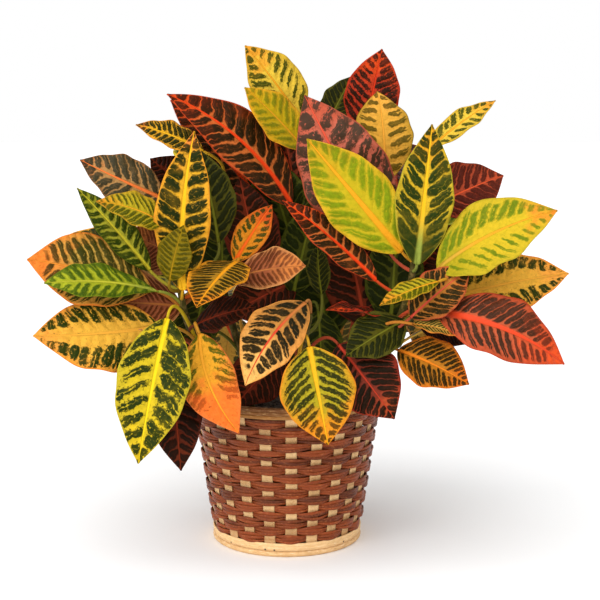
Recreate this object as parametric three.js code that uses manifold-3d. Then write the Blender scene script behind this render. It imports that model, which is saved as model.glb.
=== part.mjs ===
// A croton in a soil-filled grow pot, standing in a round woven basket.
// Millimetres, +Z up. The origin is the middle of the basket's underside,
// and the plant's best side looks towards -Y.

import * as THREE from 'three';
import { mergeVertices } from 'three/addons/utils/BufferGeometryUtils.js';
import Module from 'manifold-3d';

const wasm = await Module();
wasm.setup();

// Driving dimensions of the basket
const BASKET_HEIGHT = 147;
const WALL_RADIUS_BOTTOM = 67.5; // middle of the stakes at the floor
const WALL_RADIUS_TOP = 89; // middle of the stakes at the rim
const STAKE_COUNT = 22;
const STAKE_WIDTH = 10.8;
const STAKE_THICKNESS = 1.2;
const STAKE_TURN = 3.5; // degrees from straight ahead to the first stake
const STAKE_DROP = 1; // from the rim's top down to the stakes' ends
const ROW_COUNT = 16;
const ROW_PITCH = 7.6;
const ROW_HEIGHT = 7.2;
const ROW_THICKNESS = 1.2;
const FIRST_ROW_Z = 14;
const GAP = 0.3;

// Driving dimensions of the rim, the base and the grow pot
const RIM_HEIGHT = 10.8;
const RIM_THICKNESS = 3.2;
const RIM_INNER_THICKNESS = 2.4;
const BAND_BOTTOM = 5.9;
const BAND_HEIGHT = 7.6;
const BAND_THICKNESS = 1.6;
const HOOP_RADIUS = 2.8;
const HOOP_SIDES = 6;
const HOOP_FLATS = 0.55; // room for a hoop's flats, which lie inside its corners
const BOTTOM_THICKNESS = 4;
const POT_RADIUS_BOTTOM = 54;
const POT_RADIUS_TOP = 72;
const POT_LIP_RADIUS = 76;
const POT_LIP_HEIGHT = 6;
const POT_HEIGHT = 133;
const POT_WALL = 1.8;
const SOIL_TOP = 128;
const SOIL_EDGE_DROP = 5;

// Driving dimensions of the plant
const STEM_RADIUS = 4.2;
const STEM_FOOT_RADIUS = 4.7; // in the soil
const STEM_HOLE_RADIUS = 5.4;
const STEM_FOOT_Z = 62;
const STEM_RISE = 22; // how far a stem stays upright above the soil
const STEM_SIDES = 6;
const STEM_STEPS = 5;
const STEM_FOOT_SIDES = 8;
const STEM_HOLE_SIDES = 10;
const PETIOLE_RADIUS = 2.2;
const PETIOLE_SIDES = 3;
const PETIOLE_STEPS = 2;
const PETIOLE_RISE = 0.6; // height for each millimetre that it reaches out
const PETIOLE_BEND = 0.5; // how far back along the blade it bends, as a part of its length
const STEM_PLACES = 32; // places up a stem where a petiole may start
const LOWEST_PLACE = 4;
const BLADE_ROOT = 3; // how far a blade is sunk in its petiole
const BLADE_THICKNESS = 1;
const BLADE_END_WIDTH = 1.6;
const GOLDEN_PART = 0.381966; // of a full turn, from one leaf to the next
const OUTLINE_SHIFT = 0.9; // below 1, a blade is widest past its middle
const OUTLINE_FULLNESS = 0.75; // the lower, the blunter a blade's ends

// Where a blade's outline has its corners, as parts of its length
const BROAD_BLADE = 53; // width from which a blade has more corners
const BROAD_STATIONS = [0, 0.14, 0.36, 0.6, 0.83, 1];
const NARROW_STATIONS = [0, 0.18, 0.5, 0.8, 1];
const SHADED_STATIONS = [0, 0.26, 0.66, 1];

// How filling leaves differ: the least of each measure and how far a draw adds to it
const FILLING_LOWEST = 0.4; // part of the way up the stem
const FILLING_TURN_SPREAD = 0.12; // part of the sector
const FILLING_RISE_SPREAD = 10; // degrees
const FILLING_ROLL = 30; // degrees, one way and the other in turn
const FILLING_LENGTH = { least: 0.85, spread: 0.3 }; // parts of the stem's leaf length
const FILLING_WIDTH = { least: 0.38, spread: 0.08 }; // parts of the leaf's length
const FILLING_STALK = { least: 34, spread: 12 };
const FILLING_LIFT = 10; // of a blade's base, above its place on the stem
const FILLING_BOW = 0.09;

const RING_SIDES = 33;
const POT_SIDES = 24;
const LEAF_GREEN = 0x56681f;
const LEAF_RED = 0x7a3220;
const REED_BROWN = 0x7d3d1f;
const REED_PALE = 0xd9b98a;
const POT_BLACK = 0x2b2a28;
const SOIL_BROWN = 0x2e2019;

// Each leaf: tip, base of its blade, width, the way its upper face looks,
// and how far its midrib bows up, its halves fold up and it sweeps sideways,
// as parts of its length or width
const leaf = (tip, base, width, face, bow, fold = 0.1, sweep = 0) =>
  ({ tip, base, width, face, bow, fold, sweep });

// Each stem: its foot in the soil, the point it leans towards, its crown, its
// leaves on the side that shows, the inner ones in their shade, and, for most
// stems, where more leaves fill its other side. A gap is the number of a
// filling leaf that has no room
const STEMS = [
  {
    name: 'leafy_stem_left',
    foot: [-34, -18],
    lean: [-104, -74, 190],
    crown: [-95, -72, 275],
    colour: LEAF_GREEN,
    leaves: [
      leaf([-81, -80, 397], [-93, -84, 254], 50, [0, -1, 0.1], 0.04, 0.1, -0.03),
      leaf([-79, -45, 379], [-62, -50, 294], 46, [0.3, -1, 0.2], 0.05),
      leaf([-167, -100, 336], [-111, -84, 316], 38, [0.1, -0.7, 0.7], 0.1),
      leaf([-187, -76, 346], [-124, -64, 270], 31, [0.3, -0.9, 0.3], 0.05),
      leaf([-230, -95, 284], [-122, -65, 252], 70, [0, -0.85, 0.5], 0.08),
      leaf([-210, -125, 267], [-115, -80, 253], 40, [-0.1, -0.7, 0.7], 0.07),
      leaf([-90, -100, 315], [-104, -90, 264], 34, [-0.3, -1, 0.2], 0.05),
      leaf([-13, -40, 328], [-47, -58, 277], 32, [-0.3, -1, 0.3], 0.04),
      leaf([-75, -160, 251], [-44, -70, 279], 52, [0, -0.3, 1], 0.05),
      leaf([18, -95, 278], [-56, -60, 259], 42, [0, -0.8, 0.6], 0.08),
      leaf([-218, -140, 223], [-114, -85, 222], 72, [-0.05, -0.85, 0.5], 0.03, -0.1, -0.035),
      leaf([-128, -150, 112], [-105, -105, 233], 64, [0, -1, 0.2], 0.08),
      leaf([-41, -130, 134], [-77, -100, 218], 50, [0.1, -1, 0.3], 0.05, 0.1, 0.09),
      leaf([-94, -112, 95], [-103, -90, 192], 48, [0, -1, 0.3], 0.04),
      leaf([-27, -95, 241], [-83, -75, 221], 44, [0, -0.6, 0.8], 0.05),
    ],
    inner: [
      leaf([-172, -84, 242], [-96, -60, 236], 56, [0, -0.8, 0.6], 0.05),
    ],
    filling: { count: 6, turn: [95, 205], rise: [-5, 20], length: 105, seed: 11, gaps: [0, 1, 3, 4, 5] },
  },
  {
    name: 'leafy_stem_right',
    foot: [36, -20],
    lean: [114, -80, 190],
    crown: [116, -72, 288],
    colour: LEAF_GREEN,
    leaves: [
      leaf([17, -38, 428], [92, -50, 290], 82, [-0.3, -0.9, 0.3], 0.05),
      leaf([19, -75, 390], [105, -75, 288], 64, [-0.3, -0.9, 0.4], 0.05),
      leaf([130, -80, 403], [118, -80, 277], 52, [0, -1, 0.1], 0.03),
      leaf([238, -110, 329], [135, -90, 274], 68, [-0.1, -0.8, 0.6], 0.05, 0.1, -0.04),
      leaf([257, -70, 268], [151, -70, 246], 60, [0, -0.8, 0.6], 0.05),
      leaf([217, -50, 276], [149, -58, 256], 36, [0, -0.8, 0.6], 0.05),
      leaf([164, -98, 277], [111, -104, 233], 44, [0.2, -0.7, 0.7], 0.05),
      leaf([246, -120, 194], [135, -100, 237], 62, [0, -0.8, 0.6], 0.16),
      leaf([161, -130, 178], [100, -105, 204], 50, [0, -0.8, 0.6], 0.07),
      leaf([169, -80, 206], [122, -75, 221], 36, [0, -0.6, 0.8], 0.05),
      leaf([154, -124, 220], [112, -114, 229], 26, [0, -0.3, 1], 0.05),
      leaf([82, -130, 248], [135, -108, 266], 24, [0, -0.5, 0.9], 0.05),
      leaf([53, -120, 201], [106, -95, 229], 46, [-0.1, -0.8, 0.6], 0.05),
      leaf([36, -98, 239], [93, -70, 227], 44, [0, -0.1, 1], 0.05),
      leaf([-3, -62, 334], [82, -75, 262], 34, [0.35, -0.85, 0.4], 0.05),
    ],
    inner: [],
    filling: { count: 6, turn: [0, 85], rise: [0, 20], length: 105, seed: 23, gaps: [0, 2, 4, 5] },
  },
  {
    name: 'leafy_stem_middle',
    foot: [4, 22],
    lean: [2, 26, 250],
    crown: [28, 28, 362],
    colour: LEAF_RED,
    leaves: [
      leaf([-39, 10, 474], [15, 25, 402], 56, [0.2, -0.9, 0.5], 0.04),
      leaf([-39, -10, 435], [16, 0, 378], 48, [0.3, -0.8, 0.6], 0.04),
      leaf([-110, -25, 429], [5, -10, 325], 62, [0.4, -0.8, 0.5], 0.05, 0.1, 0.07),
      leaf([93, 62, 472], [75, 50, 386], 54, [0, -0.9, 0.4], 0.04),
      leaf([65, 72, 446], [38, 60, 395], 34, [-0.2, -0.9, 0.4], 0.04),
      leaf([0, 178, 122], [5, 118, 215], 52, [0, 1, 0.3], 0.08),
    ],
    inner: [
      leaf([28, 10, 300], [38, 14, 190], 60, [0.1, -1, 0.1], 0.03),
      leaf([-56, -10, 220], [8, 10, 250], 50, [-0.1, -1, 0.4], 0.05),
      leaf([-22, 0, 372], [6, 12, 284], 52, [0.1, -1, 0.3], 0.05),
      leaf([-4, 4, 396], [14, 12, 312], 38, [0.1, -1, 0.2], 0.05),
      leaf([28, -8, 334], [6, 4, 238], 42, [0, -1, 0.2], 0.05),
      leaf([34, -30, 158], [30, -8, 224], 38, [0.1, -0.9, 0.3], 0.05),
      leaf([-44, -18, 352], [-24, -8, 258], 48, [0, -1, 0.2], 0.05),
    ],
    filling: { count: 10, turn: [15, 165], rise: [-5, 14], length: 115, seed: 37, gaps: [0, 1, 2, 5, 7] },
  },
  {
    name: 'leafy_stem_front',
    foot: [2, -36],
    lean: [10, -100, 180],
    crown: [22, -95, 236],
    colour: LEAF_GREEN,
    leaves: [
      leaf([96, -130, 147], [47, -100, 208], 64, [0, -0.9, 0.4], 0.05),
      leaf([37, -155, 130], [21, -125, 211], 66, [0, -1, 0.3], 0.05),
      leaf([-35, -135, 178], [18, -105, 247], 52, [0, -0.8, 0.5], 0.05, 0.1, 0.06),
      leaf([29, -40, 291], [33, -45, 245], 24, [-0.4, -0.9, 0], 0.04),
    ],
    inner: [
      leaf([-48, -62, 142], [0, -30, 190], 50, [-0.2, -0.9, 0.4], 0.05),
    ],
  },
  {
    name: 'leafy_stem_back_left',
    foot: [-32, 30],
    lean: [-70, 52, 210],
    crown: [-74, 38, 334],
    colour: LEAF_GREEN,
    leaves: [
      leaf([-139, -28, 401], [-77, -22, 376], 34, [-0.2, -0.6, 0.8], 0.06),
      leaf([-128, -10, 369], [-86, -5, 333], 42, [-0.2, -0.8, 0.5], 0.05),
      leaf([-187, -55, 370], [-112, -40, 333], 50, [-0.1, -0.8, 0.6], 0.06, 0.1, -0.04),
      leaf([-110, 10, 423], [-24, 15, 323], 48, [0.3, -0.8, 0.5], 0.05),
      leaf([-72, 170, 112], [-58, 112, 200], 54, [0, 1, 0.3], 0.08),
      leaf([-136, 122, 128], [-98, 92, 208], 48, [-0.6, 0.8, 0.3], 0.1),
    ],
    inner: [
      leaf([-150, -34, 300], [-96, -16, 275], 48, [0, -0.9, 0.4], 0.05),
      leaf([-62, -2, 315], [-62, 18, 240], 44, [0, -1, 0.2], 0.05),
      leaf([-92, -20, 180], [-78, 4, 246], 42, [0, -1, 0.3], 0.05),
    ],
    filling: { count: 12, turn: [60, 215], rise: [-8, 14], length: 125, seed: 53, gaps: [0, 10] },
  },
  {
    name: 'leafy_stem_back_right',
    foot: [34, 30],
    lean: [92, 44, 210],
    crown: [116, 4, 338],
    colour: LEAF_GREEN,
    leaves: [
      leaf([194, -20, 423], [133, -35, 380], 31, [-0.53, -0.65, 0.53], 0.04),
      leaf([87, 25, 431], [93, -12, 347], 56, [0.1, -1, 0.4], 0.14, 0.05),
      leaf([200, -40, 355], [132, -50, 326], 58, [0.1, -0.8, 0.6], 0.05),
      leaf([82, 162, 116], [70, 108, 205], 54, [0.1, 1, 0.3], 0.08),
      leaf([152, 112, 142], [120, 78, 218], 46, [0.6, 0.8, 0.3], 0.1),
    ],
    inner: [
      leaf([54, -10, 308], [76, 4, 208], 58, [0.1, -1, 0.2], 0.03),
      leaf([104, -22, 318], [100, 2, 210], 50, [0, -1, 0.2], 0.05),
      leaf([158, -22, 308], [118, -4, 254], 40, [0, -1, 0.3], 0.05),
    ],
    filling: { count: 12, turn: [-15, 120], rise: [-6, 12], length: 125, seed: 67, gaps: [0, 11] },
  },
];

const radians = (degrees) => degrees * Math.PI / 180;
const vector = (list) => new THREE.Vector3(...list);

const croton = new THREE.Group();

function addMesh(name, geometry, colour, roughness = 0.6) {
  const material = new THREE.MeshStandardMaterial({ color: colour, roughness, metalness: 0 });
  const mesh = new THREE.Mesh(geometry, material);
  mesh.name = name;
  croton.add(mesh);
}

// Joining and cutting
function closedGeometry(geometry) {
  const bare = geometry.clone();
  bare.deleteAttribute('normal');
  bare.deleteAttribute('uv');
  return mergeVertices(bare, 1e-4);
}

function solid(geometry) {
  const closed = closedGeometry(geometry);
  return new wasm.Manifold(new wasm.Mesh({
    numProp: 3,
    vertProperties: Float32Array.from(closed.attributes.position.array),
    triVerts: Uint32Array.from(closed.index.array),
  }));
}

function geometryOf(body) {
  const mesh = body.getMesh();
  const geometry = new THREE.BufferGeometry();
  geometry.setAttribute('position', new THREE.BufferAttribute(mesh.vertProperties, 3));
  geometry.setIndex(new THREE.BufferAttribute(mesh.triVerts, 1));
  geometry.computeVertexNormals();
  return geometry;
}

// A body turned round the basket's upright axis, from its closed profile
function turned(points, sides = RING_SIDES) {
  const profile = points.map(([r, z]) => new THREE.Vector2(r, z));
  const geometry = new THREE.LatheGeometry(profile, sides);
  geometry.rotateX(Math.PI / 2);
  return closedGeometry(geometry);
}

const wallSlope = (WALL_RADIUS_TOP - WALL_RADIUS_BOTTOM) / BASKET_HEIGHT;
const wallRadius = (z) => WALL_RADIUS_BOTTOM + wallSlope * z;
const stakeAngle = (i) => radians(-90 + STAKE_TURN) + i * 2 * Math.PI / STAKE_COUNT;

// Flat stakes, which stand on the base hoop and lean out to the rim
function addStakes() {
  const foot = BAND_BOTTOM;
  const height = BASKET_HEIGHT - STAKE_DROP - foot;
  for (let i = 0; i < STAKE_COUNT; i += 1) {
    const box = new THREE.BoxGeometry(STAKE_THICKNESS, STAKE_WIDTH, height);
    box.rotateY(Math.atan(wallSlope));
    box.translate(wallRadius(foot + height / 2), 0, foot + height / 2);
    box.rotateZ(stakeAngle(i));
    addMesh(`stake_${String(i + 1).padStart(2, '0')}`, box, REED_PALE);
  }
}

// One closed row of the weave: it passes outside one stake and inside the next
function weaverGeometry(row) {
  const low = FIRST_ROW_Z + row * ROW_PITCH;
  const high = low + ROW_HEIGHT;
  const middle = wallRadius((low + high) / 2);
  const spacing = 2 * Math.PI * middle / STAKE_COUNT;
  const clear = (STAKE_THICKNESS + ROW_THICKNESS) / 2 + GAP;
  const swing = clear / (1 - STAKE_WIDTH / spacing);
  const sag = middle * (1 - Math.cos(2 * Math.PI / STAKE_COUNT));
  const lift = sag * STAKE_WIDTH / (2 * spacing);
  const half = ROW_THICKNESS / 2;
  const ring = turned([
    [wallRadius(low) - half, low],
    [wallRadius(low) + half, low],
    [wallRadius(high) + half, high],
    [wallRadius(high) - half, high],
    [wallRadius(low) - half, low],
  ], STAKE_COUNT);
  ring.rotateZ(radians(STAKE_TURN));
  const position = ring.attributes.position;
  for (let i = 0; i < position.count; i += 1) {
    const x = position.getX(i);
    const y = position.getY(i);
    const step = Math.round((Math.atan2(y, x) - stakeAngle(0)) * STAKE_COUNT / (2 * Math.PI));
    const side = (Math.abs(step) + row) % 2 === 0 ? 1 : -1;
    const radius = Math.hypot(x, y);
    const scale = (radius + side * swing + lift) / radius;
    position.setXY(i, x * scale, y * scale);
  }
  return ring;
}

function addWeave() {
  for (let row = 0; row < ROW_COUNT; row += 1) {
    addMesh(`weaver_${String(row + 1).padStart(2, '0')}`, weaverGeometry(row), REED_BROWN, 0.45);
  }
}

// A hoop that leans with the wall, `offset` outside the middle of the stakes
function leaningHoop(offset, thickness, low, high) {
  return turned([
    [wallRadius(low) + offset, low],
    [wallRadius(low) + offset + thickness, low],
    [wallRadius(high) + offset + thickness, high],
    [wallRadius(high) + offset, high],
    [wallRadius(low) + offset, low],
  ]);
}

// Two hoops clamp the tops of the stakes
function addRim() {
  const low = BASKET_HEIGHT - RIM_HEIGHT;
  const outer = STAKE_THICKNESS / 2 + GAP + HOOP_FLATS;
  const inner = -STAKE_THICKNESS / 2 - GAP - RIM_INNER_THICKNESS;
  addMesh('rim_outer', leaningHoop(outer, RIM_THICKNESS, low, BASKET_HEIGHT), REED_PALE);
  addMesh('rim_inner', leaningHoop(inner, RIM_INNER_THICKNESS, low, BASKET_HEIGHT), REED_PALE);
}

// A flat band holds the feet of the stakes, with a round reed below it
function addBase() {
  const offset = STAKE_THICKNESS / 2 + GAP + HOOP_FLATS;
  const bandTop = BAND_BOTTOM + BAND_HEIGHT;
  addMesh('base_band', leaningHoop(offset, BAND_THICKNESS, BAND_BOTTOM, bandTop), REED_PALE);
  const centre = wallRadius(0) + offset;
  const round = [];
  for (let i = 0; i <= HOOP_SIDES; i += 1) {
    const angle = i * 2 * Math.PI / HOOP_SIDES;
    const reach = HOOP_RADIUS / Math.cos(Math.PI / HOOP_SIDES);
    round.push([centre + reach * Math.cos(angle), HOOP_RADIUS + reach * Math.sin(angle)]);
  }
  addMesh('base_hoop', turned(round), REED_PALE);
  const edge = centre - HOOP_RADIUS / Math.cos(Math.PI / HOOP_SIDES) - GAP;
  addMesh('basket_bottom', turned([
    [0, 0],
    [edge, 0],
    [edge, BOTTOM_THICKNESS - GAP],
    [0, BOTTOM_THICKNESS - GAP],
  ]), REED_PALE, 0.8);
}

// The grow pot stands on the basket's bottom and holds the soil
const potFloor = BOTTOM_THICKNESS;
const potRadius = (z) => POT_RADIUS_BOTTOM
  + (POT_RADIUS_TOP - POT_RADIUS_BOTTOM) * (z - potFloor) / (POT_HEIGHT - potFloor);

function addGrowPot() {
  const lipBottom = POT_HEIGHT - POT_LIP_HEIGHT;
  const inside = potFloor + POT_WALL;
  addMesh('grow_pot', turned([
    [0, potFloor],
    [POT_RADIUS_BOTTOM, potFloor],
    [potRadius(lipBottom), lipBottom],
    [POT_LIP_RADIUS, lipBottom],
    [POT_LIP_RADIUS, POT_HEIGHT],
    [potRadius(POT_HEIGHT) - POT_WALL, POT_HEIGHT],
    [potRadius(inside) - POT_WALL, inside],
    [0, inside],
  ], POT_SIDES), POT_BLACK, 0.5);
}

function addSoil() {
  const low = potFloor + POT_WALL + GAP;
  const high = SOIL_TOP - SOIL_EDGE_DROP;
  const clear = POT_WALL + GAP;
  let soil = solid(turned([
    [0, low],
    [potRadius(low) - clear, low],
    [potRadius(high) - clear, high],
    [0, SOIL_TOP],
  ], POT_SIDES));
  const depth = SOIL_TOP - STEM_FOOT_Z + 2 * SOIL_EDGE_DROP;
  for (const { foot } of STEMS) {
    const hole = new THREE.CylinderGeometry(
      STEM_HOLE_RADIUS,
      STEM_HOLE_RADIUS,
      depth,
      STEM_HOLE_SIDES,
    );
    hole.rotateX(Math.PI / 2);
    hole.translate(foot[0], foot[1], STEM_FOOT_Z - GAP + depth / 2);
    soil = soil.subtract(solid(hole));
  }
  addMesh('soil', geometryOf(soil), SOIL_BROWN, 1);
}

// A stem rises straight out of the soil, then leans out to its crown
const aboveSoil = ({ foot, lean, crown }) => new THREE.CubicBezierCurve3(
  vector([...foot, SOIL_TOP]),
  vector([...foot, SOIL_TOP + STEM_RISE]),
  vector(lean),
  vector(crown),
);

function roundSection(radius, sides) {
  const points = [];
  for (let i = 0; i < sides; i += 1) {
    const angle = (i + 0.5) * 2 * Math.PI / sides;
    points.push(new THREE.Vector2(radius * Math.cos(angle), radius * Math.sin(angle)));
  }
  return new THREE.Shape(points);
}

function rod(path, radius, sides, steps) {
  return new THREE.ExtrudeGeometry(roundSection(radius, sides), { extrudePath: path, steps });
}

function footGeometry({ foot }) {
  const height = SOIL_TOP + STEM_FOOT_RADIUS - STEM_FOOT_Z;
  const post = new THREE.CylinderGeometry(
    STEM_FOOT_RADIUS,
    STEM_FOOT_RADIUS,
    height,
    STEM_FOOT_SIDES,
  );
  post.rotateX(Math.PI / 2);
  post.translate(foot[0], foot[1], STEM_FOOT_Z + height / 2);
  return post;
}

// The leaf's own directions: along its midrib, out of its upper face, and to one side
function leafFrame({ tip, base, face }) {
  const along = vector(tip).sub(vector(base));
  const length = along.length();
  along.normalize();
  const up = vector(face);
  up.addScaledVector(along, -up.dot(along)).normalize();
  const side = new THREE.Vector3().crossVectors(along, up);
  return { along, up, side, length };
}

function midrib(spec, s) {
  const { up, side, length } = leafFrame(spec);
  const arch = 4 * s * (1 - s) * length;
  return vector(spec.base).lerp(vector(spec.tip), s)
    .addScaledVector(up, spec.bow * arch)
    .addScaledVector(side, spec.sweep * arch);
}

// Broad, pointed outline: half the width at a part s of the way to the tip
const outline = (s) => Math.sin(Math.PI * s ** OUTLINE_SHIFT) ** OUTLINE_FULLNESS;

// A petiole starts inside the stem, below the leaf, and its end holds the blade
function petiolePath(stem, spec) {
  const curve = aboveSoil(stem);
  const base = vector(spec.base);
  let root = curve.getPoint(1);
  let best = Infinity;
  for (let i = LOWEST_PLACE; i <= STEM_PLACES; i += 1) {
    const point = curve.getPoint(i / STEM_PLACES);
    const run = Math.hypot(point.x - base.x, point.y - base.y);
    const miss = Math.abs(point.z - (base.z - PETIOLE_RISE * run));
    if (miss < best) {
      best = miss;
      root = point;
    }
  }
  const { along } = leafFrame(spec);
  const bend = base.clone().addScaledVector(along, -PETIOLE_BEND * base.distanceTo(root));
  return new THREE.QuadraticBezierCurve3(root, bend, base);
}

function bladeGeometry(spec, petiole, stations) {
  const { up, side } = leafFrame(spec);
  const sunk = petiole.getPoint(0.5).sub(petiole.getPoint(1)).setLength(BLADE_ROOT);
  const points = [];
  for (const s of stations) {
    const ends = s === 0 || s === 1;
    const half = ends ? BLADE_END_WIDTH / 2 : spec.width / 2 * outline(s);
    for (const level of [BLADE_THICKNESS / 2, -BLADE_THICKNESS / 2]) {
      for (const across of [-1, 0, 1]) {
        points.push(...midrib(spec, s)
          .addScaledVector(sunk, s === 0 ? 1 : 0)
          .addScaledVector(side, across * half)
          .addScaledVector(up, Math.abs(across) * half * spec.fold + level)
          .toArray());
      }
    }
  }
  const index = [];
  const quad = (a, b, c, d) => index.push(a, b, c, a, c, d);
  const last = 6 * (stations.length - 1);
  for (let i = 0; i < last; i += 6) {
    for (const j of [i, i + 1]) {
      quad(j, j + 1, j + 7, j + 6);
      index.push(j + 3, j + 10, j + 4, j + 3, j + 9, j + 10);
    }
    quad(i, i + 6, i + 9, i + 3);
    quad(i + 2, i + 5, i + 11, i + 8);
  }
  for (const j of [0, 1]) {
    quad(j, j + 3, j + 4, j + 1);
    quad(last + j, last + j + 1, last + j + 4, last + j + 3);
  }
  const geometry = new THREE.BufferGeometry();
  geometry.setAttribute('position', new THREE.Float32BufferAttribute(points, 3));
  geometry.setIndex(index);
  return geometry;
}

const between = ({ least, spread }, drawn) => least + spread * drawn;

// Leaves up the far side of a stem, each a golden part of the sector from the
// last, drooping near the soil and rising near the crown
function fillingLeaves(stem) {
  if (!stem.filling) return [];
  const { count, length, seed, gaps } = stem.filling;
  const [from, to] = stem.filling.turn;
  const [low, high] = stem.filling.rise;
  const curve = aboveSoil(stem);
  let state = seed;
  const draw = () => {
    state = (Math.imul(state, 1664525) + 1013904223) >>> 0;
    return state / 4294967296;
  };
  const leaves = [];
  for (let i = 0; i < count; i += 1) {
    const part = i / (count - 1);
    const sector = (i * GOLDEN_PART + FILLING_TURN_SPREAD * draw()) % 1;
    const turn = radians(from + (to - from) * sector);
    const rise = radians(low + (high - low) * part + FILLING_RISE_SPREAD * (draw() - 0.5));
    const reach = length * between(FILLING_LENGTH, draw());
    const stalk = between(FILLING_STALK, draw());
    const width = reach * between(FILLING_WIDTH, draw());
    const root = curve.getPoint(FILLING_LOWEST + (1 - FILLING_LOWEST) * part);
    const heading = new THREE.Vector3(
      Math.cos(turn) * Math.cos(rise),
      Math.sin(turn) * Math.cos(rise),
      Math.sin(rise),
    );
    const roll = radians(i % 2 === 0 ? -FILLING_ROLL : FILLING_ROLL);
    const face = [
      -Math.sin(turn) * Math.sin(roll),
      Math.cos(turn) * Math.sin(roll),
      Math.cos(roll),
    ];
    const base = root.clone().addScaledVector(heading, stalk);
    base.z += FILLING_LIFT;
    const tip = base.clone().addScaledVector(heading, reach);
    if (!gaps.includes(i)) {
      leaves.push(leaf(tip.toArray(), base.toArray(), width, face, FILLING_BOW));
    }
  }
  return leaves;
}

function addStem(stem) {
  const wood = rod(aboveSoil(stem), STEM_RADIUS, STEM_SIDES, STEM_STEPS);
  const pieces = [solid(footGeometry(stem)), solid(wood)];
  const addLeaf = (spec, stations) => {
    const petiole = petiolePath(stem, spec);
    pieces.push(solid(rod(petiole, PETIOLE_RADIUS, PETIOLE_SIDES, PETIOLE_STEPS)));
    pieces.push(solid(bladeGeometry(spec, petiole, stations)));
  };
  for (const spec of stem.leaves) {
    addLeaf(spec, spec.width > BROAD_BLADE ? BROAD_STATIONS : NARROW_STATIONS);
  }
  for (const spec of [...stem.inner, ...fillingLeaves(stem)]) addLeaf(spec, SHADED_STATIONS);
  addMesh(stem.name, geometryOf(wasm.Manifold.union(pieces)), stem.colour, 0.4);
}

addBase();
addStakes();
addWeave();
addRim();
addGrowPot();
addSoil();
STEMS.forEach(addStem);

export default croton;
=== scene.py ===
import math
import random

import bpy
import numpy as np
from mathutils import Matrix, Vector


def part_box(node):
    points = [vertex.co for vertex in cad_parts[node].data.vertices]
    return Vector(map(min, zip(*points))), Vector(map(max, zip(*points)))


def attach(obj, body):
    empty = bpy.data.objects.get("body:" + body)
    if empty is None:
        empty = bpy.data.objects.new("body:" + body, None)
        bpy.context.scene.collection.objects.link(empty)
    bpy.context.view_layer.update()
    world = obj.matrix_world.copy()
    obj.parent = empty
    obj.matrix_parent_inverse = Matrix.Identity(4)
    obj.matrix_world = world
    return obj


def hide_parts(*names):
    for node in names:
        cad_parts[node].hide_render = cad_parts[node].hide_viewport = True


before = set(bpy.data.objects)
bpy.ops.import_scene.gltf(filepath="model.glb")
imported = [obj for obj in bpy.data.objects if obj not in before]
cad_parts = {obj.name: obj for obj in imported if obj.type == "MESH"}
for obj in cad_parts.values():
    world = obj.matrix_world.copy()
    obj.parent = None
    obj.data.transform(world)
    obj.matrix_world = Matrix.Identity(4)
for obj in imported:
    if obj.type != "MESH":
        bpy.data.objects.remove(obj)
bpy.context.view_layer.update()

# A croton in its woven basket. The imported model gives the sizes: the fine
# leaves, stems, reeds, pot and soil made here each take the place of a node.
# Metres, +Z up; the lists of places are in millimetres, as in the model.

MM = 0.001

# The camera stands where the photograph was taken from
CAMERA_PLACE = (12.8, -1350, 440)
CAMERA_PITCH = 8.72  # degrees down
CAMERA_LENS = 85.26
CAMERA_SENSOR = 36

# Basket, as in the model
BASKET_HEIGHT = 147
WALL_RADIUS_BOTTOM = 67.5
WALL_RADIUS_TOP = 89
WALL_SLOPE = (WALL_RADIUS_TOP - WALL_RADIUS_BOTTOM) / BASKET_HEIGHT
STAKE_COUNT = 22
STAKE_WIDTH = 10.8
STAKE_THICKNESS = 1.2
STAKE_TURN = 3.5
ROW_COUNT = 16
ROW_PITCH = 7.6
ROW_HEIGHT = 7.2
FIRST_ROW_Z = 14
RIM_HEIGHT = 10.8
BAND_BOTTOM = 5.9
BAND_HEIGHT = 7.6
HOOP_RADIUS = 2.8
SOIL_TOP = 128
SOIL_EDGE_DROP = 5
POT_FLOOR = 4
POT_HEIGHT = 133
POT_LIP_HEIGHT = 6
POT_LIP_RADIUS = 76
POT_RADIUS_BOTTOM = 54
POT_RADIUS_TOP = 72
POT_WALL = 1.8

# Fine form of the basket
STRANDS = 3  # in a row
STRAND_SIDES = 8
STRAND_THICKNESS = 1.8
STRAND_OVERLAP = 1.16  # a strand is this much higher than its share of the row
STEPS_PER_STAKE = 12
ROW_SWING = 3.0  # how far a row bends out and in round the stakes
FRONT_GROWTH = 0.3  # how much a row spreads where it passes in front of a stake
BACK_LOSS = 0.05
STAKE_STEPS = 40
STAKE_DROP = 1  # of a stake's top below the basket's
HOOP_STEPS = 180
HOOP_SIDES = 12
HOOP_GRAIN = 8  # units of the reed's grain in a radian round the basket
STAKE_GRAIN = 0.125  # and in a millimetre of stake
NAIL_ANGLES = (-137, -106, -99, -41, 14, 72, 78, 133, 186)
NAIL_SIDES = 10
NAIL_HEIGHT = 1.4  # above the band's bottom
NAIL_REACH = 3.35  # outside the middle of the stakes
POT_SIDES = 96
POT_EDGE = 1.2  # rounding of the pot's edges
SOIL_RINGS = 44
SOIL_SIDES = 144
SOIL_HEAP = 1.6  # power by which the soil falls towards its edge
SOIL_GAP = 0.6  # between the soil's fine form and the model's
LUMP_COUNT = 260
AXIS = 0.01  # a radius so small that a turned piece closes on its axis

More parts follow.
